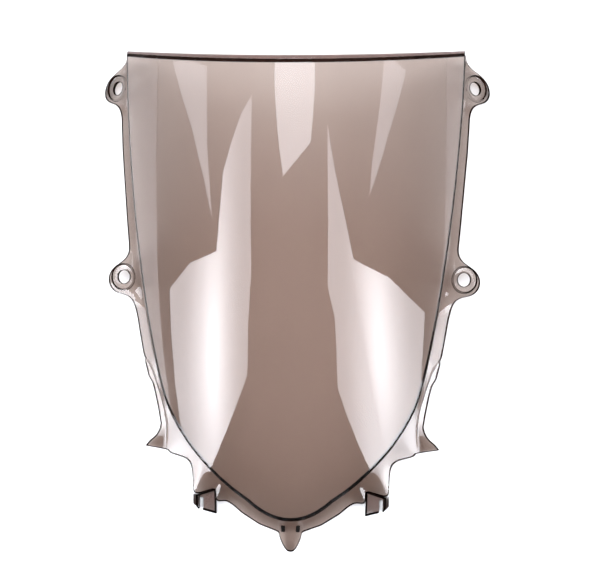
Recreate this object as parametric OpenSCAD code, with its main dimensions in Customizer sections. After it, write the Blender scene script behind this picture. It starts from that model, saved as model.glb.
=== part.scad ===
// Motorcycle windshield screen: one smoked moulding with a raised bubble, a stepped
// mounting flange, four counterbored ears, side fins, clip pockets and a nose tongue.
// It lies on its flange with the bubble upwards: +X to its right, +Y to its top edge, +Z up.
// Every zone of the moulding is a closed solid, and zones that meet share an upright wall.

/* [Bubble] */
// Half the width of the bubble at its top corners
half_width = 148.8; // [140:1:156]
// Height of the bubble's crown over the table at its nose
nose_z = 17.5; // [16:0.5:19]
// How much higher the crown is at the top edge than at the nose
crown_rise = 88; // [80:1:95]
// How early the crown rises: a higher value is a steeper nose
crown_power = 2.8; // [2.4:0.1:3.2]
// Cross fall of the bubble, in millimetres of drop per square millimetre of half width
cross_fall = 0.00373; // [0.0036:0.00001:0.0039]
// Wall thickness of the moulding
wall = 3; // [2.5:0.1:3.2]

/* [Step and lip] */
// Drop from the bubble to the flange
step_drop = 4; // [3:0.5:4.5]
// Width of the step, seen from above, at the sides
step_run_side = 0.9; // [0.7:0.1:1.2]
// Width of the step, seen from above, at the nose
step_run_nose = 2.6; // [1.5:0.1:3]
// Width of the top lip, seen from above, at its middle
lip_mid = 5.3; // [4:0.1:6]
// Width of the top lip, seen from above, at its corners
lip_corner = 3.5; // [2.5:0.1:4]
// Fall of the lip at its outer edge, as a share of its width
lip_fall = 0.6; // [0.2:0.1:1]

/* [Ears] */
// Radius of each ear's grommet hole
bore_r = 6; // [5:0.25:6.5]
// Radius of each ear's counterbore
pocket_r = 10.8; // [10:0.1:11]
// Depth of each counterbore
pocket_depth = 2.2; // [1.5:0.1:2.4]
// Thickness of the floor that the grommet grips
floor_t = 2.8; // [2:0.1:3]
// Outer radius of the boss under each ear
boss_r = 12.2; // [11.8:0.1:12.4]

/* [Clips and tongue] */
// Thickness of the clip pockets' walls
clip_wall = 1.4; // [1.2:0.1:1.6]
// Thickness of the clip pockets' floors
clip_floor = 2; // [1.6:0.1:2.2]
// Width of the slot in each clip pocket
slot_w = 3.2; // [2.8:0.1:3.4]
// Length of each locating rib
rib_l = 6.2; // [5:0.1:7]
// Thickness of each locating rib
rib_w = 3.4; // [3:0.1:3.6]

/* [Hidden] */
fine = 72;
tint = [0.45, 0.38, 0.35, 0.75];
edge_tint = [0.2, 0.16, 0.15, 0.9];

nose_y = -190.1;            // the bubble's foremost point
corner_y = 217;             // the bubble's top corners
nose_sag = 16.7;            // how far the nose arc runs ahead of its ends
top_sag = 19.6;             // how far the middle of the top edge lies below its corners
rows = 34;                  // stations along each side of the bubble
columns = 28;               // stations across it

// Right-hand edge of the bubble, from the end of the nose arc to the top corner.
side_line = [[36.4, -173.4], [53, -161.2], [70, -145.6], [88.5, -124.4], [103.8, -99.9],
    [113, -75.3], [123.5, -26.3], [132.4, 30], [140.6, 96.4], [146.4, 165], [half_width, corner_y]];

// --- curves ---------------------------------------------------------------------------------

// Point at t, from 0 to 1, on the Catmull-Rom curve between b and c.
function blend_point(a, b, c, d, t) =
    0.5 * (2 * b + (c - a) * t + (2 * a - 5 * b + 4 * c - d) * t * t + (3 * b - a - 3 * c + d) * t * t * t);
function at_index(p, i) = i < 0 ? 2 * p[0] - p[1] : i >= len(p) ? 2 * p[len(p) - 1] - p[len(p) - 2] : p[i];
function curve_point(p, s) =
    let (i = min(floor(s), len(p) - 2))
    blend_point(at_index(p, i - 1), at_index(p, i), at_index(p, i + 1), at_index(p, i + 2), s - i);
// Whole curve through p with n spans.
function curve(p, n) = [for (k = [0:n]) curve_point(p, k / n * (len(p) - 1))];

// --- the moulding's outer surface -----------------------------------------------------------

function along(y) = min(1, max(0, (y - nose_y) / (corner_y - nose_y)));
function crown_z(y) = nose_z + crown_rise * (1 - pow(1 - along(y), crown_power));
function crown_slope(y) = crown_rise * crown_power * pow(1 - along(y), crown_power - 1) / (corner_y - nose_y);
function bubble_z(x, y) = crown_z(y) - cross_fall * x * x;
// Upright thickness that leaves a wall of the stated thickness on the slope.
function upright(x, y) = wall * sqrt(1 + pow(2 * cross_fall * x, 2) + pow(crown_slope(y), 2));
function below(p) = [p.x, p.y, p.z - upright(p.x, p.y)];

side = curve(side_line, rows);
function sag(y) = nose_sag + (top_sag - nose_sag) * along(y);
function row_point(i, u) =
    let (w = side[i].x, y = side[i].y - sag(side[i].y) * (1 - u * u))
    [w * u, y, bubble_z(w * u, y)];

// The bubble's edge from the top left corner, round the nose, to the top right corner.
edge = concat([for (i = [rows:-1:1]) row_point(i, -1)],
    [for (j = [0:columns]) row_point(0, 2 * j / columns - 1)],
    [for (i = [1:rows]) row_point(i, 1)]);
function heading(i) =
    let (a = edge[max(0, i - 1)], b = edge[min(len(edge) - 1, i + 1)], d = [b.x - a.x, b.y - a.y])
    d / norm(d);
function step_run(y) = step_run_side + (step_run_nose - step_run_side) * pow(1 - along(y), 3);
// The foot of the step, outside the edge and below it.
foot = [for (i = [0:len(edge) - 1]) let (h = heading(i), r = step_run(edge[i].y))
    [edge[i].x + h.y * r, edge[i].y - h.x * r, edge[i].z - step_drop]];

// Foot of the step on the right-hand side at station k, the y of the bubble's edge there.
right_half = [for (i = [(len(edge) - 1) / 2:len(edge) - 1]) i];
foot_x = [for (i = right_half) [edge[i].y, foot[i].x]];
foot_y = [for (i = right_half) [edge[i].y, foot[i].y]];
foot_z = [for (i = right_half) [edge[i].y, foot[i].z]];
function foot_at(k) = [lookup(k, foot_x), lookup(k, foot_y), lookup(k, foot_z)];

// --- closed sheets --------------------------------------------------------------------------

// Closed solid between two equal grids of points, the lower straight below the upper.
module sheet(top) {
    n = len(top);
    m = len(top[0]);
    upper = [for (row = top) each row];
    lower = [for (p = upper) below(p)];
    s = n * m;
    function id(i, j) = i * m + j;
    function wall_faces(a, b) = [[a, b, b + s], [a, b + s, a + s]];
    faces = concat(
        [for (i = [0:n - 2], j = [0:m - 2]) each
            [[id(i, j), id(i + 1, j), id(i + 1, j + 1)], [id(i, j), id(i + 1, j + 1), id(i, j + 1)]]],
        [for (i = [0:n - 2], j = [0:m - 2]) each
            [[s + id(i, j), s + id(i + 1, j + 1), s + id(i + 1, j)],
            [s + id(i, j), s + id(i, j + 1), s + id(i + 1, j + 1)]]],
        [for (i = [0:n - 2]) each wall_faces(id(i + 1, 0), id(i, 0))],
        [for (i = [0:n - 2]) each wall_faces(id(i, m - 1), id(i + 1, m - 1))],
        [for (j = [0:m - 2]) each wall_faces(id(0, j), id(0, j + 1))],
        [for (j = [0:m - 2]) each wall_faces(id(n - 1, j + 1), id(n - 1, j))]);
    polyhedron(concat(upper, lower), faces, convexity = 6);
}

module both_sides(is_left) {
    if (is_left) mirror([1, 0, 0]) children();
    else children();
}

// --- ears -----------------------------------------------------------------------------------

upper_ear_at = [160, 189, 12.8];
upper_ear_turn = [-7, 39, 0];
lower_ear_at = [151, 20.6, 16.2];
lower_ear_turn = [2, 20, 0];
// Height of an ear's plane at a place in plan.
function ear_z(at, turn, x, y) = at.z - tan(turn.y) * (x - at.x) + tan(turn.x) / cos(turn.y) * (y - at.y);

upper_seam_y = 171.5;
upper_root_y = 210;         // where the ear's root ends, near the bubble's corner
lower_seam = [[139.8, -3.5], [137, -1], [138.8, 43], [144.6, 46]];

// --- flange outline, right-hand side --------------------------------------------------------

function with_ear_z(at, turn, p) = [p.x, p.y, ear_z(at, turn, p.x, p.y)];
// Each entry is a station on the bubble's edge and the outer point that belongs to it.
nose_outline = [
    [-190.1, [0, -203.6, 7.6]], [-188.8, [10.4, -202.6, 7.6]], [-183.6, [27.5, -196.2, 8.2]],
    [-176, [43, -186.4, 8.8]], [-168.5, [51, -179.5, 9.2]], [-163.5, [57.3, -175.4, 9.6]],
    [-158.5, [66.1, -177.6, 8.6]], [-155, [66.1, -165.2, 12.2]]];
side_outline = [
    [-155, [66.1, -165.2, 12.2]], [-143, [83.9, -170.8, 7.6]], [-141.8, [86.3, -170.8, 7]],
    [-139, [86.6, -156, 9]], [-136.4, [87.4, -146.4, 10.4]], [-134.8, [89.4, -140.8, 10.6]],
    [-132, [93.2, -138.2, 10.6]], [-121, [109.7, -134.2, 6.4]], [-112, [109.4, -121, 9.8]],
    [-106, [109.3, -110.4, 12.7]], [-92, [110.8, -94.6, 16.8]], [-75, [115.8, -78, 18.6]],
    [-57, [122.1, -59.6, 19]], [-52, [125.6, -54.3, 17.8]], [-48, [131, -50, 14.4]],
    [-28, [134.5, -29.8, 16.2]], [-13, [137.1, -14, 17]],
    [-2, with_ear_z(lower_ear_at, lower_ear_turn, lower_seam[0])],
    [-0.5, with_ear_z(lower_ear_at, lower_ear_turn, lower_seam[1])],
    [43, with_ear_z(lower_ear_at, lower_ear_turn, lower_seam[2])],
    [46, with_ear_z(lower_ear_at, lower_ear_turn, lower_seam[3])],
    [53, [145.4, 54.3, 20.4]], [79, [148, 80.6, 20.2]], [105, [150.2, 106.9, 19]],
    [132, [152.4, 133.2, 18.6]], [160, [153.8, 160, 18.6]],
    [upper_seam_y, with_ear_z(upper_ear_at, upper_ear_turn, [154.6, upper_seam_y])]];

// Stations of an outline, with each stretch split so that no part is longer than about 9 mm.
function stations(outline) = concat([for (i = [0:len(outline) - 2])
    let (a = outline[i], b = outline[i + 1], n = max(1, round(max(norm(b[1] - a[1]), b[0] - a[0]) / 9)))
    each [for (k = [0:n - 1]) a + (b - a) * k / n]], [outline[len(outline) - 1]]);
// Rows from the foot of the step to the outline.
function strip(outline) = [for (q = stations(outline)) let (a = foot_at(q[0]), b = q[1]) [a, (a + b) / 2, b]];

// --- side fin: inner crease and outer edge ---------------------------------------------------

fin_step = 0.9;             // how far the fin lies below the flange along the crease
fin_rows = [
    [[125.6, -54.3, 17.8], [131, -50, 14.4]], [[122.1, -59.6, 19], [128.2, -61.3, 14.6]],
    [[119.6, -66.5, 18.8], [127, -66.6, 14]], [[118, -71.5, 18.7], [123.5, -71.8, 14.8]],
    [[115.8, -78, 18.6], [121.5, -79, 14.4]], [[110.8, -94.6, 16.8], [118.2, -95.5, 11.5]],
    [[109.3, -110.4, 12.7], [116.1, -108.6, 9.6]], [[109.4, -116, 11.2], [117.4, -113.9, 8.6]],
    [[109.4, -121, 9.8], [120.5, -119.1, 7.4]], [[109.6, -127.6, 8.1], [126.6, -124.2, 6]],
    [[109.7, -134.2, 6.4], [131.6, -130.4, 4.7]]];

// --- clip pocket and tongue outlines ---------------------------------------------------------

clip_top = [[66.1, -165.2], [83.9, -170.8]];
clip_outer_x = 86.3;
clip_corner_z = 9.2;        // the tray's inner back corner reaches the flange here
clip_front = [[65.6, -187.5], [77.8, -184.3]];
tongue_slope = 14;
tongue_root_y = -202.6;
tongue_root_w = 9.6;
tongue_tip_r = 3.6;
tongue_l = 18.5;

// --- nodes ----------------------------------------------------------------------------------

module bubble() {
    color(tint) sheet([for (i = [0:rows]) [for (j = [columns:-1:0]) row_point(i, 2 * j / columns - 1)]]);
}

module step_rim() {
    color(edge_tint) sheet([for (i = [0:len(edge) - 1]) [edge[i], foot[i]]]);
}

// The lip turns down over the whole top edge and narrows to its corners.
module top_lip() {
    function width(u) = lip_mid + (lip_corner - lip_mid) * u * u;
    color(edge_tint) sheet([for (j = [0:columns])
        let (u = 2 * j / columns - 1, p = row_point(rows, u), w = width(u))
        [p + [0, w, -w * lip_fall], p + [0, w * 0.5, -w * lip_fall / 4], p]]);
}

module side_flange(is_left) {
    color(tint) both_sides(is_left) sheet(strip(side_outline));
}

module nose_flange() {
    right = strip(nose_outline);
    left = [for (i = [len(right) - 1:-1:1]) [for (p = right[i]) [-p.x, p.y, p.z]]];
    color(tint) sheet(concat(left, right));
}

// Plate, boss, counterbore and hole, about the hole's axis. The outline is the ear's own.
module drilled_ear() {
    difference() {
        union() {
            translate([0, 0, -wall]) linear_extrude(wall) children();
            translate([0, 0, -pocket_depth - floor_t])
                cylinder(r = boss_r, h = pocket_depth + floor_t, $fn = fine);
        }
        translate([0, 0, -pocket_depth]) cylinder(r = pocket_r, h = pocket_depth + 5, $fn = fine);
        translate([0, 0, -20]) cylinder(r = bore_r, h = 40, $fn = fine);
    }
}

// Straight root that runs up to the bubble's top corner, and a round bay below.
module upper_ear_outline() {
    translate([2.2, -2]) circle(r = 12.9, $fn = fine);
    difference() {
        polygon([[-15, 20.6], [-12.4, 20.6], [-3.6, 15], [9.6, 8.6], [6, -16.3], [-15, -16.3]]);
        translate([3.2, -20.4]) circle(r = 6.4, $fn = fine);
    }
}

// Wide bay above and a tight bay below the round ear.
module lower_ear_outline() {
    translate([0.4, -1.4]) circle(r = 13.3, $fn = fine);
    difference() {
        polygon([[-16, 27], [-5.6, 27], [10, 9.2], [2, -19], [-8.4, -24.6], [-16, -24.6]]);
        translate([11.4, 24.2]) circle(r = 16.4, $fn = fine);
        translate([0.4, -23.2]) circle(r = 8.4, $fn = fine);
    }
}

module upper_ear(is_left) {
    inner = [for (k = [upper_seam_y, 190, upper_root_y]) [foot_at(k).x + 0.05, foot_at(k).y]];
    color(tint) both_sides(is_left) intersection() {
        translate(upper_ear_at) rotate(upper_ear_turn) drilled_ear() upper_ear_outline();
        translate([0, 0, -20]) linear_extrude(80)
            polygon([[200, upper_seam_y], [inner[0].x, upper_seam_y], inner[1], inner[2],
                [200, upper_root_y]]);
    }
}

module lower_ear(is_left) {
    color(tint) both_sides(is_left) intersection() {
        translate(lower_ear_at) rotate(lower_ear_turn) drilled_ear() lower_ear_outline();
        translate([0, 0, -20]) linear_extrude(80)
            polygon(concat([[200, -3.5]], lower_seam, [[200, 46]]));
    }
}

module side_fin(is_left) {
    drop = [0, 0, -fin_step];
    color(tint) both_sides(is_left)
        sheet([for (i = [len(fin_rows) - 1:-1:0])
            let (a = fin_rows[i][0] + drop, b = fin_rows[i][1]) [a, (a + b) / 2, b]]);
}

// Tray that hangs from the flange: sloping walls' tops, a flat floor and a slot that opens forwards.
module clip_pocket(is_left) {
    shape = concat(clip_top, [[83.6, -180.4], [82, -183.2]], [clip_front[1], clip_front[0]]);
    cheek = [[83.9, -170.8], [clip_outer_x, -170.8], [clip_outer_x, -178.6], [82, -183.2],
        [80.9, -182.4], [80.9, -170]];
    color(edge_tint) both_sides(is_left) difference() {
        union() {
            intersection() {
                linear_extrude(20) polygon(shape);
                difference() {
                    hull() {
                        translate([60, -190, 0]) cube([30, 26, 7]);
                        translate([clip_top[0].x, clip_top[0].y, 0]) cylinder(r = 0.5, h = clip_corner_z);
                    }
                    translate([0, 0, clip_floor]) linear_extrude(20) polygon([
                        [66.1 + clip_wall, -165.2 - clip_wall * 1.4],
                        [83.9 - clip_wall, -170.8 - clip_wall],
                        [83.6 - clip_wall, -180.2], [81.4, -182], [77.8, -184.3 + clip_wall],
                        [65.6 + clip_wall, -187.5 + clip_wall * 1.3]]);
                }
            }
            linear_extrude(6.4) polygon(cheek);
        }
        translate([77.7, -200, -1]) cube([slot_w, 26.6, 20]);
    }
}

// Outline of the tongue in its own plane: straight root, tapered sides and a round tip.
function tongue_outline() = concat(
    [[-tongue_root_w, -4.2], [-tongue_root_w, 0], [tongue_root_w, 0], [tongue_root_w, -4.2]],
    [for (a = [-28:-8:-152]) [tongue_tip_r * cos(a), tongue_tip_r * (1 + sin(a)) - tongue_l]]);

module nose_tongue() {
    color(tint) translate([0, tongue_root_y, 7.6]) rotate([tongue_slope, 0, 0]) translate([0, 0, -wall])
        linear_extrude(wall) polygon(tongue_outline());
}

module locating_rib(is_left) {
    color(edge_tint) both_sides(is_left) translate([6.4, -199.2, 0.4])
        translate([-rib_w / 2, -rib_l / 2, 0]) cube([rib_w, rib_l, 4.4]);
}

bubble();
step_rim();
top_lip();
side_flange(true);  // side_flange_left
side_flange(false);  // side_flange_right
nose_flange();
upper_ear(true);  // upper_ear_left
upper_ear(false);  // upper_ear_right
lower_ear(true);  // lower_ear_left
lower_ear(false);  // lower_ear_right
side_fin(true);  // side_fin_left
side_fin(false);  // side_fin_right
clip_pocket(true);  // clip_pocket_left
clip_pocket(false);  // clip_pocket_right
nose_tongue();
locating_rib(true);  // locating_rib_left
locating_rib(false);  // locating_rib_right
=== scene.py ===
import math

import bmesh
import bpy
import numpy as np
from mathutils import Matrix, Vector


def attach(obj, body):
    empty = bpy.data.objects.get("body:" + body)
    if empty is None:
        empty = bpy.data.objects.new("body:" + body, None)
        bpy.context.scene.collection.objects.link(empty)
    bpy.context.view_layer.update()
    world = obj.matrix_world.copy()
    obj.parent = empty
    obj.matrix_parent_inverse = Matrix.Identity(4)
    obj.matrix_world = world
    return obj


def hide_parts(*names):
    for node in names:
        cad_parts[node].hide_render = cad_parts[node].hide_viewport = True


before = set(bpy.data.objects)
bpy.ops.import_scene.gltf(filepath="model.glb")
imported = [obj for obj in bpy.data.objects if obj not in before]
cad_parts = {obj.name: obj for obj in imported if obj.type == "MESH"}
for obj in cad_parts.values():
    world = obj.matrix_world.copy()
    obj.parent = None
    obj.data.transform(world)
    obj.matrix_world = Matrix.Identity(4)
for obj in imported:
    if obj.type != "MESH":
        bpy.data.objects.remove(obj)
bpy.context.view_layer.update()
MM = 0.001

# ---------------------------------------------------------------- moulding dimensions, in mm
NOSE_Y, CORNER_Y = -190.1, 217.0
HALF_WIDTH = 148.8
NOSE_Z, CROWN_RISE, CROWN_POWER = 17.5, 88.0, 2.8
CROSS_FALL = 0.00373
WALL = 3.0
NOSE_SAG, TOP_SAG = 16.7, 19.6
STEP_DROP, STEP_RUN_SIDE, STEP_RUN_NOSE = 4.0, 0.9, 2.6
LIP_MID, LIP_CORNER, LIP_FALL = 5.3, 3.5, 0.6
LIP_GROOVE, LIP_CREASE, LIP_LEAN = 0.35, 1.5, 0.4
FIN_STEP = 1.5
FIN_GROWN = 5.0  # width from which the fin has its full step
RIM_ROUND, RIM_BAND, BAND_ROOM = 0.9, 1.5, 0.03
RIM_ROOM = 1.1  # length that the edges beside the rim need, in rounding radii
REST_GAP = 0.25  # clearance that the rim keeps above the surface the screen rests on
COLUMNS = 96
STATION_GAP = 2.2
CURVE_STEPS = 6  # straight pieces that a tab's edge has between two of its points
SEAM_SHIFT = 1.2  # how far the flange's underside starts inside its top, at the foot of the step

# Right-hand edge of the bubble, from the end of the nose arc to the top corner.
SIDE_LINE = [
    (36.4, -173.4), (53, -161.2), (70, -145.6), (88.5, -124.4), (103.8, -99.9), (113, -75.3),
    (123.5, -26.3), (132.4, 30), (140.6, 96.4), (146.4, 165), (HALF_WIDTH, CORNER_Y)]

# Outer edge of the flange: the edge's y on the bubble, then the point x, y, z that belongs to it.
FLANGE_LINE = [
    (-190.1, 0, -203.6, 7.6), (-188.8, 12.2, -201.9, 7.6), (-183.6, 27.5, -196.2, 8.2),
    (-176, 43, -186.4, 8.8), (-168.5, 51, -179.5, 9.2), (-163.5, 57.3, -175.4, 9.6),
    (-158.5, 66.1, -177.6, 8.6), (-155, 66.1, -165.2, 12.2), (-143, 83.9, -170.8, 7.6),
    (-141.8, 86.3, -170.8, 7), (-139, 86.6, -156, 10), (-136.4, 87.4, -146.4, 12),
    (-134.8, 89.4, -140.8, 12.8), (-132, 93.2, -138.2, 12.8), (-121, 109.7, -134.2, 6.8),
    (-112, 109.4, -121, 9.8), (-106, 109.3, -110.4, 12.7), (-92, 110.8, -94.6, 16.8),
    (-75, 115.8, -78, 18.6), (-57, 122.1, -59.6, 19), (-52, 125.6, -54.3, 17.8), (-48, 131, -50, 14.4),
    (-28, 134.5, -29.8, 16.2), (-13, 137.1, -14, 17), (-8, 138.5, -8, 17.2), (50, 145.2, 50, 19.4),
    (79, 148, 80.6, 19.6), (105, 150.2, 106.9, 19), (132, 152.4, 133.2, 18), (160, 153.8, 160, 16.9),
    (211, 150.4, 211, 17), (217, 150, 217, 15.6)]

# Outer edge of the side fin, keyed like the flange.
FIN_LINE = [
    (-49, 130.4, -52, 14.6), (-52, 129.6, -56, 14.5), (-57, 128.2, -61.3, 14.6), (-63.7, 127, -66.6, 14),
    (-68.6, 123.5, -71.8, 14.8), (-75, 121.5, -79, 14.4), (-92, 118.2, -95.5, 11.5),
    (-106, 116.1, -108.6, 9.6), (-109.2, 117.4, -113.9, 8.6), (-112, 120.5, -119.1, 7.4),
    (-116.5, 126.6, -124.2, 6), (-121, 131.6, -130.4, 4.7)]
FIN_BACK, FIN_FRONT = FIN_LINE[0][0], FIN_LINE[-1][0]

# Ears: depth of the counterbore, the floor below it, and the radii of the hole, counterbore and boss.
POCKET_DEPTH, FLOOR = 2.2, 2.8
HOLE_R, POCKET_R, BOSS_R = 6.0, 10.8, 12.2

# Witness mark of the mould's gate: its radius, and how far ahead of the tongue's middle it is.
GATE_R, GATE_AHEAD = 2.0, 6.6

# Clip trays and nose ribs: heights below which a tray's floor and at which its cheeks lie, and edge rounding.
TRAY_FLOOR_TOP, CHEEK_TOP = 2.5, 6.4
TRAY_ROUND, RIB_ROUND = 0.3, 0.7

# Rings of each strip, from 0 at its inner edge to 1 at its outer edge.
STEP_RINGS = (0.12, 0.3, 0.5, 0.7, 0.88, 1.0)
FLANGE_RINGS = (0.1, 0.22, 0.34, 0.46, 0.57, 0.67, 0.77, 1.0)
FIN_RINGS = (0.05, 0.1, 0.16, 0.32, 0.55, 0.77, 1.0)
LIP_RINGS = (0.1, 0.26, 0.45, 0.7, 1.0)
# lip rings next to the top edge that are painted dark as the crease's shade
DARK_LIP_RINGS = 2

# Places of the finishes on the shell: the clear one is the first, then the edge painted dark and the lip painted
# darker.
EDGE_SLOT, LIP_SLOT = 1, 2


class Tab:
    """Flat tab that the flange runs out into.

    at and turn give its tilted plane, blend the keys where the plane takes over and lets go, and edge
    its outline as rows of key, x, y. Further than levels_off from at, the plane stops rising along Y."""

    def __init__(self, at, turn, blend, levels_off, edge):
        self.at, self.turn, self.blend, self.levels_off = at, turn, blend, levels_off
        rows = np.array(edge, float)
        spans = (len(rows) - 1) * CURVE_STEPS
        self.edge = np.array([catmull(rows, k / CURVE_STEPS) for k in range(spans + 1)])

    def height(self, x, y):
        (ax, ay, az), (tilt_x, tilt_y) = self.at, (math.radians(t) for t in self.turn)
        away = self.levels_off * math.tanh((y - ay) / self.levels_off)
        return az - math.tan(tilt_y) * (x - ax) + math.tan(tilt_x) / math.cos(tilt_y) * away

    def upright_wall(self):
        return WALL / (math.cos(math.radians(self.turn[0])) * math.cos(math.radians(self.turn[1])))

    def covers(self, key):
        return self.edge[0][0] - 0.001 <= key <= self.edge[-1][0]

    def share(self, key):
        """How far the tab's plane has taken over from the flange's own slope, from 0 to 1."""
        rise, full, fade, end = self.blend
        taken = smooth(min(1, max(0, (key - rise) / (full - rise))))
        kept = smooth(min(1, max(0, (end - key) / (end - fade))))
        return taken * kept


def smooth(t):
    return t * t * (3 - 2 * t)


def catmull(points, s):
    """Point at s on the Catmull-Rom curve through the points."""
    last = len(points) - 1
    i = min(int(s), last - 1)
    p = [np.array(points[min(max(k, 0), last)], float) for k in (i - 1, i, i + 1, i + 2)]
    if i == 0:
        p[0] = 2 * p[1] - p[2]
    if i == last - 1:
        p[3] = 2 * p[2] - p[1]
    t = s - i
    a, b, c, d = p
    return 0.5 * (2 * b + (c - a) * t + (2 * a - 5 * b + 4 * c - d) * t * t + (3 * b - a - 3 * c + d) * t ** 3)


FAR_OFF = 1000  # a tab that never levels off
UPPER_EAR = Tab((160, 189, 12.8), (-7, 39), (164, 178, 203, 211), 9, [
    (163, 154.1, 163), (167, 154.7, 166.6), (170.5, 155.6, 169.6), (173.5, 157.4, 172.3),
    (176, 160.4, 174.4), (178.5, 164.5, 175.6), (181, 168.2, 177.2), (183.5, 170.6, 179.8),
    (186, 171.6, 183), (188.5, 171.7, 186.4), (191.5, 171, 190.5), (195, 169.2, 194.6),
    (198.5, 166, 198.4), (202, 162, 201.4), (205.5, 157.2, 204), (208.5, 153.2, 206.8), (211, 150.8, 210)])
LOWER_EAR = Tab((151, 20.6, 16.2), (2, 20), (-7, -1, 32, 68), FAR_OFF, [
    (-8, 138.7, -8), (-4, 139.8, -2.9), (-0.5, 141.8, 0.9), (3, 145.4, 4), (6.5, 149.3, 5.4),
    (9.5, 154.3, 6), (12, 158.8, 7.9), (14.5, 162.2, 11), (17, 163.8, 14.5), (20, 164.6, 19),
    (23, 163.9, 22.4), (26, 161.8, 26.7), (29.5, 158.3, 30.1), (33, 153.2, 33.2), (37, 149, 36.1),
    (41, 145.8, 40.2), (45.5, 144.9, 45), (50, 145.2, 50), (56, 145.9, 56.3), (62, 146.5, 62.7),
    (70, 147.2, 71.1)])
TONGUE = Tab((0, -202.6, 7.6), (14, 0), (-195, -194, -189.3, -188.8), FAR_OFF, [
    (-190.23, 0, -220.5), (-190.213, 2.2, -220.2), (-190.191, 3.9, -219), (-190.154, 5.3, -216.9),
    (-190.103, 6.4, -214.5), (-190.038, 7.5, -212.3), (-189.957, 8.5, -210.2), (-189.862, 9.3, -208.2),
    (-189.753, 9.7, -206.5), (-189.629, 9.8, -205.1), (-189.49, 9.8, -204.1), (-189.337, 10, -203.2),
    (-189.17, 10.6, -202.6), (-189, 11.4, -202.3), (-188.8, 12.2, -201.9)])
TABS = (UPPER_EAR, LOWER_EAR, TONGUE)


# ---------------------------------------------------------------- surface of the moulding
def along(y):
    return min(1.0, max(0.0, (y - NOSE_Y) / (CORNER_Y - NOSE_Y)))


def crown_z(y):
    return NOSE_Z + CROWN_RISE * (1 - (1 - along(y)) ** CROWN_POWER)


def crown_slope(y):
    return CROWN_RISE * CROWN_POWER * (1 - along(y)) ** (CROWN_POWER - 1) / (CORNER_Y - NOSE_Y)


def bubble_z(x, y):
    return crown_z(y) - CROSS_FALL * x * x


def upright(x, y):
    """Upright thickness that leaves the wall's own thickness on the slope."""
    return WALL * math.sqrt(1 + (2 * CROSS_FALL * x) ** 2 + crown_slope(y) ** 2)


def edge_sag(y):
    return NOSE_SAG + (TOP_SAG - NOSE_SAG) * along(y)


def step_run(y):
    return STEP_RUN_SIDE + (STEP_RUN_NOSE - STEP_RUN_SIDE) * (1 - along(y)) ** 3


def keyed(line, key):
    """Point of a keyed line at a key, by straight interpolation."""
    rows = np.array(sorted(line), float)
    return np.array([np.interp(key, rows[:, 0], rows[:, k]) for k in range(1, rows.shape[1])])


def flange_edge(key):
    """Outer edge of the flange at a key, which runs round the tabs."""
    base = keyed(FLANGE_LINE, key)
    for tab in TABS:
        if tab.covers(key):
            x, y = keyed(tab.edge.tolist(), key)
            return np.array([x, y, base[2] + (tab.height(x, y) - base[2]) * tab.share(key)])
    return base


def softened(points, reach):
    """A row of points with its corners rounded over about that many neighbours."""
    done = points.copy()
    for i in range(1, len(points) - 1):
        n = min(reach, i, len(points) - 1 - i)
        weights = np.array([1 + n - abs(k) for k in range(-n, n + 1)], float)
        done[i] = (points[i - n:i + n + 1] * weights[:, None]).sum(0) / weights.sum()
    return done


def run_steps(points):
    return np.linalg.norm(np.diff(points, axis=0), axis=1)


# Stations along the side of the bubble, spaced by what moves fastest: its edge, the flange's or the fin's.
FINE_STEPS, FLANGE_WEIGHT, FIN_WEIGHT, LONGEST_FIN_STEP = 3001, 0.85, 0.75, 2
fine = np.linspace(0, len(SIDE_LINE) - 1, FINE_STEPS)
fine_edge = np.array([catmull(SIDE_LINE, s) for s in fine])
fine_flange = np.array([flange_edge(y)[:2] for y in fine_edge[:, 1]])
fine_fin = np.array([keyed(FIN_LINE, y)[:2] if FIN_FRONT <= y <= FIN_BACK else f
                     for y, f in zip(fine_edge[:, 1], fine_flange)])
steps = np.maximum(run_steps(fine_edge), FLANGE_WEIGHT * run_steps(fine_flange))
steps = np.maximum(steps, FIN_WEIGHT * run_steps(fine_fin).clip(0, LONGEST_FIN_STEP))
run_length = np.concatenate([[0], np.cumsum(steps)])
ROWS = int(run_length[-1] / STATION_GAP)
row_run = np.append(np.linspace(0, run_length[-1] - LIP_CREASE, ROWS), run_length[-1])
row_edge = np.array([catmull(SIDE_LINE, s) for s in np.interp(row_run, run_length, fine)])


def row_point(i, u):
    """Point of the bubble on row i, from -1 at its left edge to 1 at its right edge."""
    w, y = row_edge[i]
    x, y = w * u, y - edge_sag(y) * (1 - u * u)
    return np.array([x, y, bubble_z(x, y)])


# Half of the bubble's edge, from the middle of the nose to the right-hand top corner.
MID = COLUMNS // 2
half = [row_point(0, j / MID) for j in range(MID)] + [row_point(i, 1) for i in range(ROWS + 1)]
half = np.array(half)
heading = np.gradient(half[:, :2], axis=0)
heading[0] = (1, 0)
heading /= np.linalg.norm(heading, axis=1)[:, None]
outward = np.stack([heading[:, 1], -heading[:, 0]], 1)
foot = np.array([[*(e[:2] + n * step_run(e[1])), e[2] - STEP_DROP] for e, n in zip(half, outward)])
flange = softened(np.array([flange_edge(e[1]) for e in half]), 2)
flange[0][0] = 0
tab_at = [next(((tab, tab.share(e[1])) for tab in TABS if tab.covers(e[1])), None) for e in half]
fin_first = min(k for k in range(len(half)) if half[k][1] >= FIN_FRONT)
fin_last = max(k for k in range(len(half)) if half[k][1] <= FIN_BACK)


def step_ring(k, f):
    """Outer and inner point of ring f, from 0 at the bubble's edge to 1 at the foot of the step."""
    at_edge, between, at_foot = 1.3, 2.0, 1.5  # how far the inner side of the step stands back
    deeper = 0.2
    e, n = half[k], outward[k]
    p = e[:2] + n * step_run(e[1]) * f
    z = e[2] - STEP_DROP * smooth(f)
    back = e[:2] - n * (at_edge if f == 0 else between if f < 1 else at_foot)
    rise = bubble_z(*back) - bubble_z(*e[:2])
    return (*p, z), (*(back + (p - e[:2])), z + rise - upright(*e[:2]) - deeper)


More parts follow.
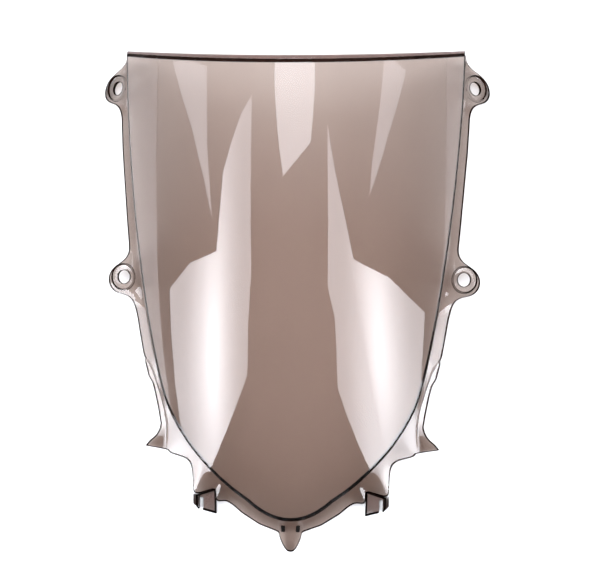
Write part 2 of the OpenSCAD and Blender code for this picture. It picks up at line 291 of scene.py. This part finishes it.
def flange_ring(k, t):
    """Outer and inner point of ring t, from 0 at the foot of the step to 1 at the flange's edge."""
    thinning, hollow_power, wall_blend = 0.12, 5, 3
    a, b = foot[k], flange[k]
    if t == FLANGE_RINGS[-2]:
        t = max(FLANGE_RINGS[-3] + BAND_ROOM, 1 - RIM_BAND / np.linalg.norm(b[:2] - a[:2]))
    p = a + (b - a) * t
    wall = upright(p[0], p[1]) * (1 - thinning * t)
    if tab_at[k]:
        tab, share = tab_at[k]
        level = tab.height(p[0], p[1]) + (a[2] - tab.height(a[0], a[1])) * (1 - t) ** hollow_power
        p[2] += (level - p[2]) * share
        wall += (tab.upright_wall() - wall) * share * smooth(min(1, wall_blend * t))
    shift = outward[k] * (SEAM_SHIFT * (1 - t) ** 2)
    return tuple(p), (p[0] - shift[0], p[1] - shift[1], max(REST_GAP, p[2] - wall))


def fin_ring(k, t):
    """Outer and inner point of ring t, from 0 at the flange's edge to 1 at the fin's edge."""
    step_done, step_fade, start_wall, wall_loss = 0.16, 0.4, 0.88, 0.32
    a, b = flange[k], keyed(FIN_LINE, half[k][1])
    width = np.linalg.norm(b[:2] - a[:2])
    if t == FIN_RINGS[-2]:
        t = max(FIN_RINGS[-3] + BAND_ROOM, 1 - RIM_BAND / max(1, width))
    p = a + (b - a) * t
    drop = FIN_STEP * smooth(min(1, t / step_done)) * (1 - step_fade * t)
    z = p[2] - drop * min(1, width / FIN_GROWN)
    wall = upright(p[0], p[1]) * (start_wall - wall_loss * t)
    return (p[0], p[1], z), (p[0], p[1], max(REST_GAP, z - wall))


def lip_ring(n, t):
    """Outer and inner point of column n on the lip, from 0 at the top edge to 1 at the lip's edge."""
    straight_fall, thinning, roll_power = 0.15, 0.1, 4
    u = 2 * n / COLUMNS - 1
    w = LIP_MID + (LIP_CORNER - LIP_MID) * u * u
    p = row_point(ROWS, u)
    groove = LIP_GROOVE if t == LIP_RINGS[0] else 0
    fall = w * LIP_FALL * (straight_fall * t + (1 - straight_fall) * t ** roll_power)
    o = (p[0], p[1] + w * t, p[2] - fall - groove)
    return o, (o[0], o[1] - LIP_LEAN * t, o[2] - upright(p[0], p[1]) * (1 - thinning * t) + groove)


# ---------------------------------------------------------------- bench tools
MERGE_GAP = 0.01
FLAT_ANGLE, SHARP_ANGLE, SMOOTH_ANGLE = math.radians(2), math.radians(30), math.radians(38)
STEEP, LEVEL, LEVEL_SLACK = 0.75, 0.95, 0.2


def only(obj):
    """Select one object and nothing else."""
    if bpy.context.mode != "OBJECT":
        bpy.ops.object.mode_set(mode="OBJECT")
    bpy.ops.object.select_all(action="DESELECT")
    obj.select_set(True)
    bpy.context.view_layer.objects.active = obj


def keep_modifiers(obj):
    only(obj)
    for m in list(obj.modifiers):
        bpy.ops.object.modifier_apply(modifier=m.name)


def cut_or_join(obj, tool, operation):
    m = obj.modifiers.new(operation, "BOOLEAN")
    m.operation, m.object, m.solver = operation, tool, "MANIFOLD"
    keep_modifiers(obj)
    bpy.data.objects.remove(tool)


def turned(name, rings, sides=96):
    """Round piece about Z: a disc raised through rings of (radius, height), in mm."""
    bpy.ops.object.select_all(action="DESELECT")
    r0, z0 = rings[0]
    bpy.ops.mesh.primitive_circle_add(vertices=sides, radius=r0 * MM, fill_type="NGON", location=(0, 0, z0 * MM))
    obj = bpy.context.object
    obj.name = name
    bpy.ops.object.transform_apply(location=True)
    bpy.ops.object.mode_set(mode="EDIT")
    bpy.ops.mesh.select_all(action="SELECT")
    for (ra, za), (rb, zb) in zip(rings, rings[1:]):
        bpy.ops.mesh.extrude_region_move(TRANSFORM_OT_translate={"value": (0, 0, (zb - za) * MM)})
        if rb != ra:
            bpy.ops.transform.resize(value=(rb / ra, rb / ra, 1), center_override=(0, 0, zb * MM))
    bpy.ops.mesh.select_all(action="SELECT")
    bpy.ops.mesh.normals_make_consistent(inside=False)
    bpy.ops.object.mode_set(mode="OBJECT")
    return obj


def place(obj, matrix):
    obj.data.transform(matrix)
    if matrix.determinant() < 0:
        obj.data.flip_normals()
    obj.data.update()


def finish_with(obj, *finishes):
    for finish in finishes:
        obj.data.materials.append(finish)


# ---------------------------------------------------------------- the moulded shell
def border_points(k, maker, f):
    """Outer and inner point at a border station: negative stations are the left-hand half."""
    o, i = maker(abs(k), f)
    s = -1 if k < 0 else 1
    return (s * o[0], o[1], o[2]), (s * i[0], i[1], i[2])


def bubble_grid():
    """Grid for the bubble, with each vertex's outer and inner point and the vertex at each row and column."""
    bpy.ops.object.select_all(action="DESELECT")
    bpy.ops.mesh.primitive_grid_add(x_subdivisions=COLUMNS, y_subdivisions=ROWS, size=2)
    obj = bpy.context.object
    obj.name = "screen_moulding"
    sheet, at = {}, {}
    for v in obj.data.vertices:
        row, column = round((v.co.y + 1) / 2 * ROWS), round((v.co.x + 1) / 2 * COLUMNS)
        p = row_point(row, 2 * column / COLUMNS - 1)
        sheet[v.index] = tuple(p), (p[0], p[1], p[2] - upright(p[0], p[1]))
        at[(row, column)] = v.index
        v.co = Vector(p) * MM
    return obj, sheet, at


def select_nothing(bm):
    for part in (*bm.faces, *bm.edges, *bm.verts):
        part.select = False


def extrude_chain(me, sheet, chain, points):
    """Extrude an open chain of vertices by one ring, to the outer point of each pair; gives the new chain."""
    bm = bmesh.from_edit_mesh(me)
    bm.verts.ensure_lookup_table()
    select_nothing(bm)
    for a, b in zip(chain, chain[1:]):
        bm.edges.get((bm.verts[a], bm.verts[b])).select = True
        bm.verts[a].select = bm.verts[b].select = True
    bmesh.update_edit_mesh(me)
    count = len(bm.verts)
    bpy.ops.mesh.extrude_edges_move(TRANSFORM_OT_translate={"value": (0, 0, 0)})
    bm = bmesh.from_edit_mesh(me)
    bm.verts.ensure_lookup_table()
    grown_from = {}
    for v in [bm.verts[n] for n in range(count, len(bm.verts))]:
        old = [e.other_vert(v).index for e in v.link_edges if e.other_vert(v).index < count]
        grown_from[old[0]] = v.index
    chain = [grown_from[v] for v in chain]
    for v, pair in zip(chain, points):
        sheet[v] = pair
        bm.verts[v].co = Vector(pair[0]) * MM
    bmesh.update_edit_mesh(me)
    return chain


def give_wall(obj, sheet):
    """Give the sheet its wall and a rim painted dark, and put both sides on their own points; gives one side's
    count.
    """
    count = len(obj.data.vertices)
    wall = obj.modifiers.new("wall", "SOLIDIFY")
    wall.thickness, wall.offset, wall.use_rim = WALL * MM, -1, True
    keep_modifiers(obj)
    me = obj.data
    for face in me.polygons:
        if len({v < count for v in face.vertices}) == 2:
            face.material_index = EDGE_SLOT
    for v in range(count):
        me.vertices[v].co, me.vertices[v + count].co = (Vector(p) * MM for p in sheet[v])
    me.update()
    return count


def round_rim(obj, count):
    """Bevel both edges of the rim, the bevel painted dark like the rim; its outer side has the vertices up to
    count.
    """
    only(obj)
    bpy.ops.object.mode_set(mode="EDIT")
    bm = bmesh.from_edit_mesh(obj.data)
    select_nothing(bm)

    def on_rim(e):
        sides = {v.index < count for v in e.verts}
        across = [len({v.index < count for v in f.verts}) for f in e.link_faces]
        return len(sides) == 1 and sorted(across) == [1, 2]

    def has_room(v):
        return all(e.calc_length() > RIM_ROOM * RIM_ROUND * MM for e in v.link_edges if not on_rim(e))

    for e in bm.edges:
        if on_rim(e) and has_room(e.verts[0]) and has_room(e.verts[1]):
            e.select = True
            e.verts[0].select = e.verts[1].select = True
    bmesh.update_edit_mesh(obj.data)
    bpy.ops.mesh.bevel(
        offset=RIM_ROUND * MM, segments=3, affect="EDGES", clamp_overlap=False, material=EDGE_SLOT)
    bpy.ops.object.mode_set(mode="OBJECT")


def make_shell():
    """The bubble, with its borders extruded ring by ring to the step, flange, fins and lip, then its wall."""
    obj, sheet, at = bubble_grid()
    me = obj.data
    # border stations count from the middle of the nose
    border = {column - MID: at[(0, column)] for column in range(COLUMNS + 1)}
    for row in range(1, ROWS + 1):
        border[MID + row] = at[(row, COLUMNS)]
        border[-MID - row] = at[(row, 0)]
    for k, v in border.items():
        if abs(k) >= MID:
            sheet[v] = sheet[v][0], border_points(k, step_ring, 0)[1]
    bpy.ops.object.mode_set(mode="EDIT")

    stations = sorted(border)
    chain = [border[k] for k in stations]
    step_verts, rim_verts = set(chain), set()
    for f in STEP_RINGS:
        chain = extrude_chain(me, sheet, chain, [border_points(k, step_ring, f) for k in stations])
        if f < 1:
            step_verts.update(chain)
    for t in FLANGE_RINGS:
        chain = extrude_chain(me, sheet, chain, [border_points(k, flange_ring, t) for k in stations])
        if t >= FLANGE_RINGS[-2]:
            rim_verts.update(v for k, v in zip(stations, chain) if not fin_first < abs(k) < fin_last)
    for side in (-1, 1):
        keys = [k for k in stations if k * side > 0 and fin_first <= abs(k) <= fin_last]
        fin = [chain[stations.index(k)] for k in keys]
        for t in FIN_RINGS:
            fin = extrude_chain(me, sheet, fin, [border_points(k, fin_ring, t) for k in keys])
            if t >= FIN_RINGS[-2]:
                rim_verts.update(fin)
    crease_verts = {at[(row, column)] for row in (ROWS - 1, ROWS) for column in range(COLUMNS + 1)}
    lip_verts = set()
    lip = [at[(ROWS, column)] for column in range(COLUMNS + 1)]
    for m, t in enumerate(LIP_RINGS, 1):
        lip = extrude_chain(me, sheet, lip, [lip_ring(column, t) for column in range(COLUMNS + 1)])
        if m <= DARK_LIP_RINGS:
            crease_verts.update(lip)
        if m >= DARK_LIP_RINGS:
            lip_verts.update(lip)

    bpy.ops.mesh.select_all(action="SELECT")
    bpy.ops.mesh.normals_make_consistent(inside=False)
    bpy.ops.object.mode_set(mode="OBJECT")
    if sum(p.normal.z for p in me.polygons) < 0:
        me.flip_normals()
    finish_with(obj, CLEAR, EDGE, LIP)
    # painted shade: the step, the crease at the lip and the rim take the edge painted dark, and the lip its
    # darker painted copy
    for face in me.polygons:
        corners = set(face.vertices)
        if corners <= step_verts or corners <= crease_verts or corners <= rim_verts:
            face.material_index = EDGE_SLOT
        elif corners <= lip_verts:
            face.material_index = LIP_SLOT
    round_rim(obj, give_wall(obj, sheet))
    return obj


# ---------------------------------------------------------------- ears, clip trays and ribs
def tab_matrix(tab, left):
    """Place of a tab's own plane, on the right-hand half or mirrored to the left."""
    tilt_x, tilt_y = (math.radians(t) for t in tab.turn)
    tilt = Matrix.Rotation(tilt_y, 4, "Y") @ Matrix.Rotation(tilt_x, 4, "X")
    m = Matrix.Translation(Vector(tab.at) * MM) @ tilt
    return Matrix.Scale(-1, 4, (1, 0, 0)) @ m if left else m


def make_ears(shell):
    """A boss under each ear, then its counterbore and grommet hole, whose steep walls are painted dark as shade.
    """
    deep = POCKET_DEPTH + FLOOR
    boss_rings = [(BOSS_R - 0.6, -deep), (BOSS_R, -deep + 0.6), (BOSS_R, -1.6), (BOSS_R - 0.4, -1.1)]
    drill_rings = [
        (HOLE_R + 0.5, -deep - 3), (HOLE_R + 0.5, -deep), (HOLE_R, -deep + 0.5),
        (HOLE_R, -POCKET_DEPTH - 0.4), (HOLE_R + 0.4, -POCKET_DEPTH), (POCKET_R - 0.9, -POCKET_DEPTH),
        (POCKET_R - 0.2, -1.8), (POCKET_R, -1.2), (POCKET_R, -0.5), (POCKET_R + 0.6, 0.15),
        (POCKET_R + 0.6, 5)]
    every_ear = [tab_matrix(ear, left) for ear in (UPPER_EAR, LOWER_EAR) for left in (False, True)]
    for matrix in every_ear:
        boss = turned("boss", boss_rings)
        finish_with(boss, CLEAR)
        place(boss, matrix)
        cut_or_join(shell, boss, "UNION")
    for matrix in every_ear:
        drill = turned("drill", drill_rings)
        finish_with(drill, CLEAR, EDGE)
        # steep faces of the counterbore and hole take the edge painted dark
        for face in drill.data.polygons:
            face.material_index = int(abs(face.normal.z) < STEEP)
        place(drill, matrix)
        cut_or_join(shell, drill, "DIFFERENCE")


def mark_gate(shell):
    """Round witness mark of the mould's gate, on the tongue."""
    gate = turned("gate", [(GATE_R - 0.3, -0.35), (GATE_R, -0.1), (GATE_R, 4)], 48)
    finish_with(gate, CLEAR)
    place(gate, tab_matrix(TONGUE, False) @ Matrix.Translation((0, -GATE_AHEAD * MM, 0)))
    cut_or_join(shell, gate, "DIFFERENCE")


def rounded_copy(node, name, rounding, pale_floor=False):
    """The node's shape with its faces merged and its edges rounded, painted dark as shade except, on a tray, its
    floor and cheeks, which are pale.
    """
    only(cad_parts[node])
    bpy.ops.object.duplicate()
    obj = bpy.context.object
    obj.name = name
    obj.parent = None
    bpy.ops.object.mode_set(mode="EDIT")
    bpy.ops.mesh.select_all(action="SELECT")
    bpy.ops.mesh.remove_doubles(threshold=MERGE_GAP * MM)
    bpy.ops.mesh.dissolve_limited(angle_limit=FLAT_ANGLE)
    bpy.ops.object.mode_set(mode="OBJECT")
    m = obj.modifiers.new("round", "BEVEL")
    m.width, m.segments, m.limit_method, m.angle_limit = rounding * MM, 3, "ANGLE", SHARP_ANGLE
    keep_modifiers(obj)
    only(obj)
    bpy.ops.object.shade_smooth_by_angle(angle=SMOOTH_ANGLE)
    obj.data.materials.clear()
    # painted shade: every face takes the edge painted dark, but a tray's level floor and cheek faces take the
    # paler tray copy
    finish_with(obj, EDGE, TRAY)
    for face in obj.data.polygons:
        z = face.center.z / MM
        pale = z < TRAY_FLOOR_TOP or abs(z - CHEEK_TOP) < LEVEL_SLACK
        face.material_index = int(pale_floor and pale and abs(face.normal.z) > LEVEL)
    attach(obj, "root")
    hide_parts(node)
    return obj


# ---------------------------------------------------------------- finishes
# Refractive index: the lower it is, the less the surface reflects.
POLISHED, DULL, UNLIT = 1.58, 1.4, 1.08
BODY_TINT, BODY_DENSITY = (0.36, 0.235, 0.16, 1), 450
FLOW_STRETCH, HIGHEST_ROUGHNESS, RIPPLE_STRENGTH, RIPPLE_DEPTH = (9, 3, 3), 0.035, 0.03, 0.0006


def material(name):
    mat = bpy.data.materials.new(name)
    mat.use_nodes = True
    mat.node_tree.nodes.clear()
    return mat, mat.node_tree.nodes.new, mat.node_tree.links.new


def noise(N, L, vector, scale, detail=2.0):
    node = N("ShaderNodeTexNoise")
    node.inputs["Scale"].default_value = scale
    node.inputs["Detail"].default_value = detail
    L(vector, node.inputs["Vector"])
    return node.outputs["Fac"]


def two_tones(N, L, factor, low, high, start=0.0, end=1.0):
    node = N("ShaderNodeValToRGB")
    first, last = node.color_ramp.elements
    first.position, first.color = start, (*low, 1)
    last.position, last.color = end, (*high, 1)
    L(factor, node.inputs["Fac"])
    return node.outputs["Color"]


def smoked_plastic(name, low, high, index):
    """Tinted clear plastic: a polished surface with faint flow marks over a coloured, absorbing body."""
    mat, N, L = material(name)
    out = N("ShaderNodeOutputMaterial")
    coord = N("ShaderNodeTexCoord")
    stretch = N("ShaderNodeMapping")
    stretch.inputs["Scale"].default_value = FLOW_STRETCH
    L(coord.outputs["Object"], stretch.inputs["Vector"])
    tint = two_tones(N, L, noise(N, L, stretch.outputs["Vector"], 3.0, 4.0), low, high, 0.3, 0.7)
    gloss = N("ShaderNodeMapRange")
    gloss.inputs["To Max"].default_value = HIGHEST_ROUGHNESS
    L(noise(N, L, coord.outputs["Object"], 60), gloss.inputs["Value"])
    bump = N("ShaderNodeBump")
    bump.inputs["Strength"].default_value = RIPPLE_STRENGTH
    bump.inputs["Distance"].default_value = RIPPLE_DEPTH
    L(noise(N, L, coord.outputs["Object"], 14, 1.0), bump.inputs["Height"])
    plastic = N("ShaderNodeBsdfPrincipled")
    plastic.inputs["Transmission Weight"].default_value = 1.0
    plastic.inputs["IOR"].default_value = index
    L(tint, plastic.inputs["Base Color"])
    L(gloss.outputs["Result"], plastic.inputs["Roughness"])
    L(bump.outputs["Normal"], plastic.inputs["Normal"])
    # light passes straight through to the floor, so the screen casts a pale tinted shadow
    passing = N("ShaderNodeBsdfTransparent")
    L(tint, passing.inputs["Color"])
    path = N("ShaderNodeLightPath")
    mix = N("ShaderNodeMixShader")
    L(path.outputs["Is Shadow Ray"], mix.inputs[0])
    L(plastic.outputs["BSDF"], mix.inputs[1])
    L(passing.outputs["BSDF"], mix.inputs[2])
    L(mix.outputs["Shader"], out.inputs["Surface"])
    body = N("ShaderNodeVolumeAbsorption")
    body.inputs["Color"].default_value = BODY_TINT
    body.inputs["Density"].default_value = BODY_DENSITY
    L(body.outputs["Volume"], out.inputs["Volume"])
    return mat


def floor_paper():
    mat, N, L = material("floor_paper")
    out, coord, paper = N("ShaderNodeOutputMaterial"), N("ShaderNodeTexCoord"), N("ShaderNodeBsdfDiffuse")
    tone = two_tones(N, L, noise(N, L, coord.outputs["Object"], 40), [0.86] * 3, [0.88] * 3)
    L(tone, paper.inputs["Color"])
    L(paper.outputs["BSDF"], out.inputs["Surface"])
    return mat


# ---------------------------------------------------------------- build
CLEAR = smoked_plastic("smoked_clear", (0.93, 0.905, 0.895), (0.97, 0.95, 0.94), POLISHED)
# Painted shade: a near-black copy of the plastic that hardly reflects, put on the rim, step, lip crease, hole
# walls, tray walls and ribs for the dark lines that trapped light makes at the wall's edges.
EDGE = smoked_plastic("smoked_edge", (0.04, 0.022, 0.018), (0.06, 0.034, 0.028), UNLIT)
# Painted shade: a darker, duller copy of the plastic for the rolled lip along the top edge.
LIP = smoked_plastic("lip_painted_shade", (0.43, 0.33, 0.32), (0.49, 0.38, 0.37), DULL)
# copy of the plastic, darker and duller than the clear, for the trays' level floor and cheek faces beside their
# walls painted dark
TRAY = smoked_plastic("smoked_tray", (0.70, 0.63, 0.62), (0.77, 0.70, 0.69), DULL)
shell = make_shell()
make_ears(shell)
mark_gate(shell)
only(shell)
bpy.ops.object.shade_smooth_by_angle(angle=SMOOTH_ANGLE)
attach(shell, "root")
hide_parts("bubble", "step_rim", "top_lip", "side_flange_left", "side_flange_right", "nose_flange",
            "upper_ear_left", "upper_ear_right", "lower_ear_left", "lower_ear_right",
            "side_fin_left", "side_fin_right", "nose_tongue")
for side in ("left", "right"):
    rounded_copy("clip_pocket_" + side, "clip_tray_" + side, TRAY_ROUND, pale_floor=True)
    rounded_copy("locating_rib_" + side, "nose_rib_" + side, RIB_ROUND)

# ---------------------------------------------------------------- studio
bpy.ops.object.select_all(action="DESELECT")
bpy.ops.mesh.primitive_plane_add(size=40)
floor = bpy.context.object
floor.name = "floor"
floor.data.materials.append(floor_paper())

# Softboxes: each is a panel whose corners lie in the directions (angle from straight up, bearing from +X).
SOFTBOX_REACH, LAMP_GLOW = 6.0, 2.4
DAYLIGHT = (0.91, 0.94, 1.0, 1)
LEFT_SOFTBOX = [
    (84, -171), (72, -172), (55, -170), (50, 178), (44.6, 173.4), (38, 168), (31.4, 163), (30.5, 177),
    (33.2, -154.5), (41, -142), (47.5, -133.8), (63, -136), (78, -137.5), (89, -139.5)]
RIGHT_SOFTBOX = [
    (83, -12), (65, -11.5), (44.4, -15), (36, -6), (30, 2.7), (25.6, 14.2), (26.5, -12), (30.9, -33.7),
    (38.2, -36.8), (48.7, -49.8), (60, -49), (70.4, -48), (89, -46)]
TOP_SOFTBOX = [(6.8, -178), (12, 155), (16.6, 144.8), (27, 118), (27, 62), (18.4, 31.5), (14, 17)]
LEFT_STRIP = [(57, -175.4), (62.1, 178.4), (70.2, 172.8), (82, 168.5), (62, 167.5), (60.6, 174.3)]
RIGHT_STRIP = [(52.2, -1.2), (63.8, 7.5), (72, 11.5), (61, 13.5), (53.7, 3.9)]


def toward_lamp(fall, bearing):
    a, b = math.radians(fall), math.radians(bearing)
    return Vector((math.sin(a) * math.cos(b), math.sin(a) * math.sin(b), math.cos(a))) * SOFTBOX_REACH


def softbox_cloth(name, ends, edge, middle):
    """Diffuser cloth: brightest along its tube lamp, falling off towards its border."""
    first, last = (toward_lamp(*end) for end in ends)
    tube = last - first
    mat, N, L = material(name)
    out, coord, lamp = N("ShaderNodeOutputMaterial"), N("ShaderNodeTexCoord"), N("ShaderNodeMapping")
    glow, level, light = N("ShaderNodeTexGradient"), N("ShaderNodeMapRange"), N("ShaderNodeEmission")
    glow.gradient_type = "QUADRATIC_SPHERE"
    lamp.vector_type = "TEXTURE"
    lamp.inputs["Location"].default_value = (first + last) / 2
    lamp.inputs["Rotation"].default_value = tube.to_track_quat("X", "Z").to_euler()
    lamp.inputs["Scale"].default_value = (tube.length + LAMP_GLOW, LAMP_GLOW, LAMP_GLOW)
    level.inputs["To Min"].default_value = edge
    level.inputs["To Max"].default_value = middle
    L(coord.outputs["Object"], lamp.inputs["Vector"])
    L(lamp.outputs["Vector"], glow.inputs["Vector"])
    L(glow.outputs["Fac"], level.inputs["Value"])
    light.inputs["Color"].default_value = DAYLIGHT
    L(level.outputs["Result"], light.inputs["Strength"])
    L(light.outputs["Emission"], out.inputs["Surface"])
    return mat


def softbox(name, corners, lamp, edge, middle):
    """Panel through the corners, with its tube lamp's two ends and the cloth's strength at edge and middle."""
    bpy.ops.object.select_all(action="DESELECT")
    bpy.ops.mesh.primitive_circle_add(vertices=len(corners), radius=1, fill_type="NGON")
    obj = bpy.context.object
    obj.name = name
    for v, corner in zip(obj.data.vertices, corners):
        v.co = toward_lamp(*corner)
    obj.data.materials.append(softbox_cloth(name + "_cloth", lamp, edge, middle))
    obj.visible_camera = False


softbox("left_softbox", LEFT_SOFTBOX, ((56, -168), (73, -140)), 5.5, 19.0)
softbox("right_softbox", RIGHT_SOFTBOX, ((56, -12), (75, -40)), 5.5, 19.0)
softbox("top_softbox", TOP_SOFTBOX, ((20, 60), (20, 120)), 7.0, 8.5)
softbox("left_strip", LEFT_STRIP, ((60, 179), (70, 171)), 4.0, 5.0)
softbox("right_strip", RIGHT_STRIP, ((54, 0), (64, 9)), 4.0, 5.0)

# Room light by direction: dim towards the nose, brightest just past overhead, dimmer beyond the top edge.
# Each row is where a change starts and ends along Y, then the light before and after it.
ROOM_LIGHT = ((-0.22, 0.3, 0.25, 2.4), (0.4, 0.75, 2.4, 0.4))
world = bpy.data.worlds.new("studio")
bpy.context.scene.world = world
world.use_nodes = True
N, L = world.node_tree.nodes.new, world.node_tree.links.new
room = world.node_tree.nodes["Background"]
room.inputs["Color"].default_value = (0.97, 0.98, 1, 1)
coord, split, darker = N("ShaderNodeTexCoord"), N("ShaderNodeSeparateXYZ"), N("ShaderNodeMath")
darker.operation = "MINIMUM"
for slot, change in enumerate(ROOM_LIGHT):
    wall = N("ShaderNodeMapRange")
    wall.interpolation_type = "SMOOTHSTEP"
    for socket, value in zip(("From Min", "From Max", "To Min", "To Max"), change):
        wall.inputs[socket].default_value = value
    L(split.outputs["Y"], wall.inputs["Value"])
    L(wall.outputs["Result"], darker.inputs[slot])
L(coord.outputs["Generated"], split.inputs["Vector"])
L(darker.outputs["Value"], room.inputs["Strength"])

# Camera, aimed at the middle of the screen from almost straight above; angles in degrees, lens in mm.
DISTANCE, TILT_X, TILT_Y, ROLL = 1.5, 4.1, -1.7, -0.7
SENSOR, LENS, SHIFT_X, SHIFT_Y = 36.0, 101.442, 0.010667, 0.017167
lens = bpy.data.cameras.new("camera")
lens.sensor_width, lens.lens, lens.shift_x, lens.shift_y = SENSOR, LENS, SHIFT_X, SHIFT_Y
lens.clip_end = 20
cam = bpy.data.objects.new("camera", lens)
bpy.context.scene.collection.objects.link(cam)
toward = Vector((math.tan(math.radians(TILT_X)), math.tan(math.radians(TILT_Y)), 1)).normalized()
up = (Vector((0, 1, 0)) - toward * toward.y).normalized()
turn = Matrix((up.cross(toward), up, toward)).transposed() @ Matrix.Rotation(math.radians(-ROLL), 3, "Z")
cam.matrix_world = Matrix.Translation(toward * DISTANCE) @ turn.to_4x4()
bpy.context.scene.camera = cam
bpy.context.scene.view_settings.view_transform = "Standard"
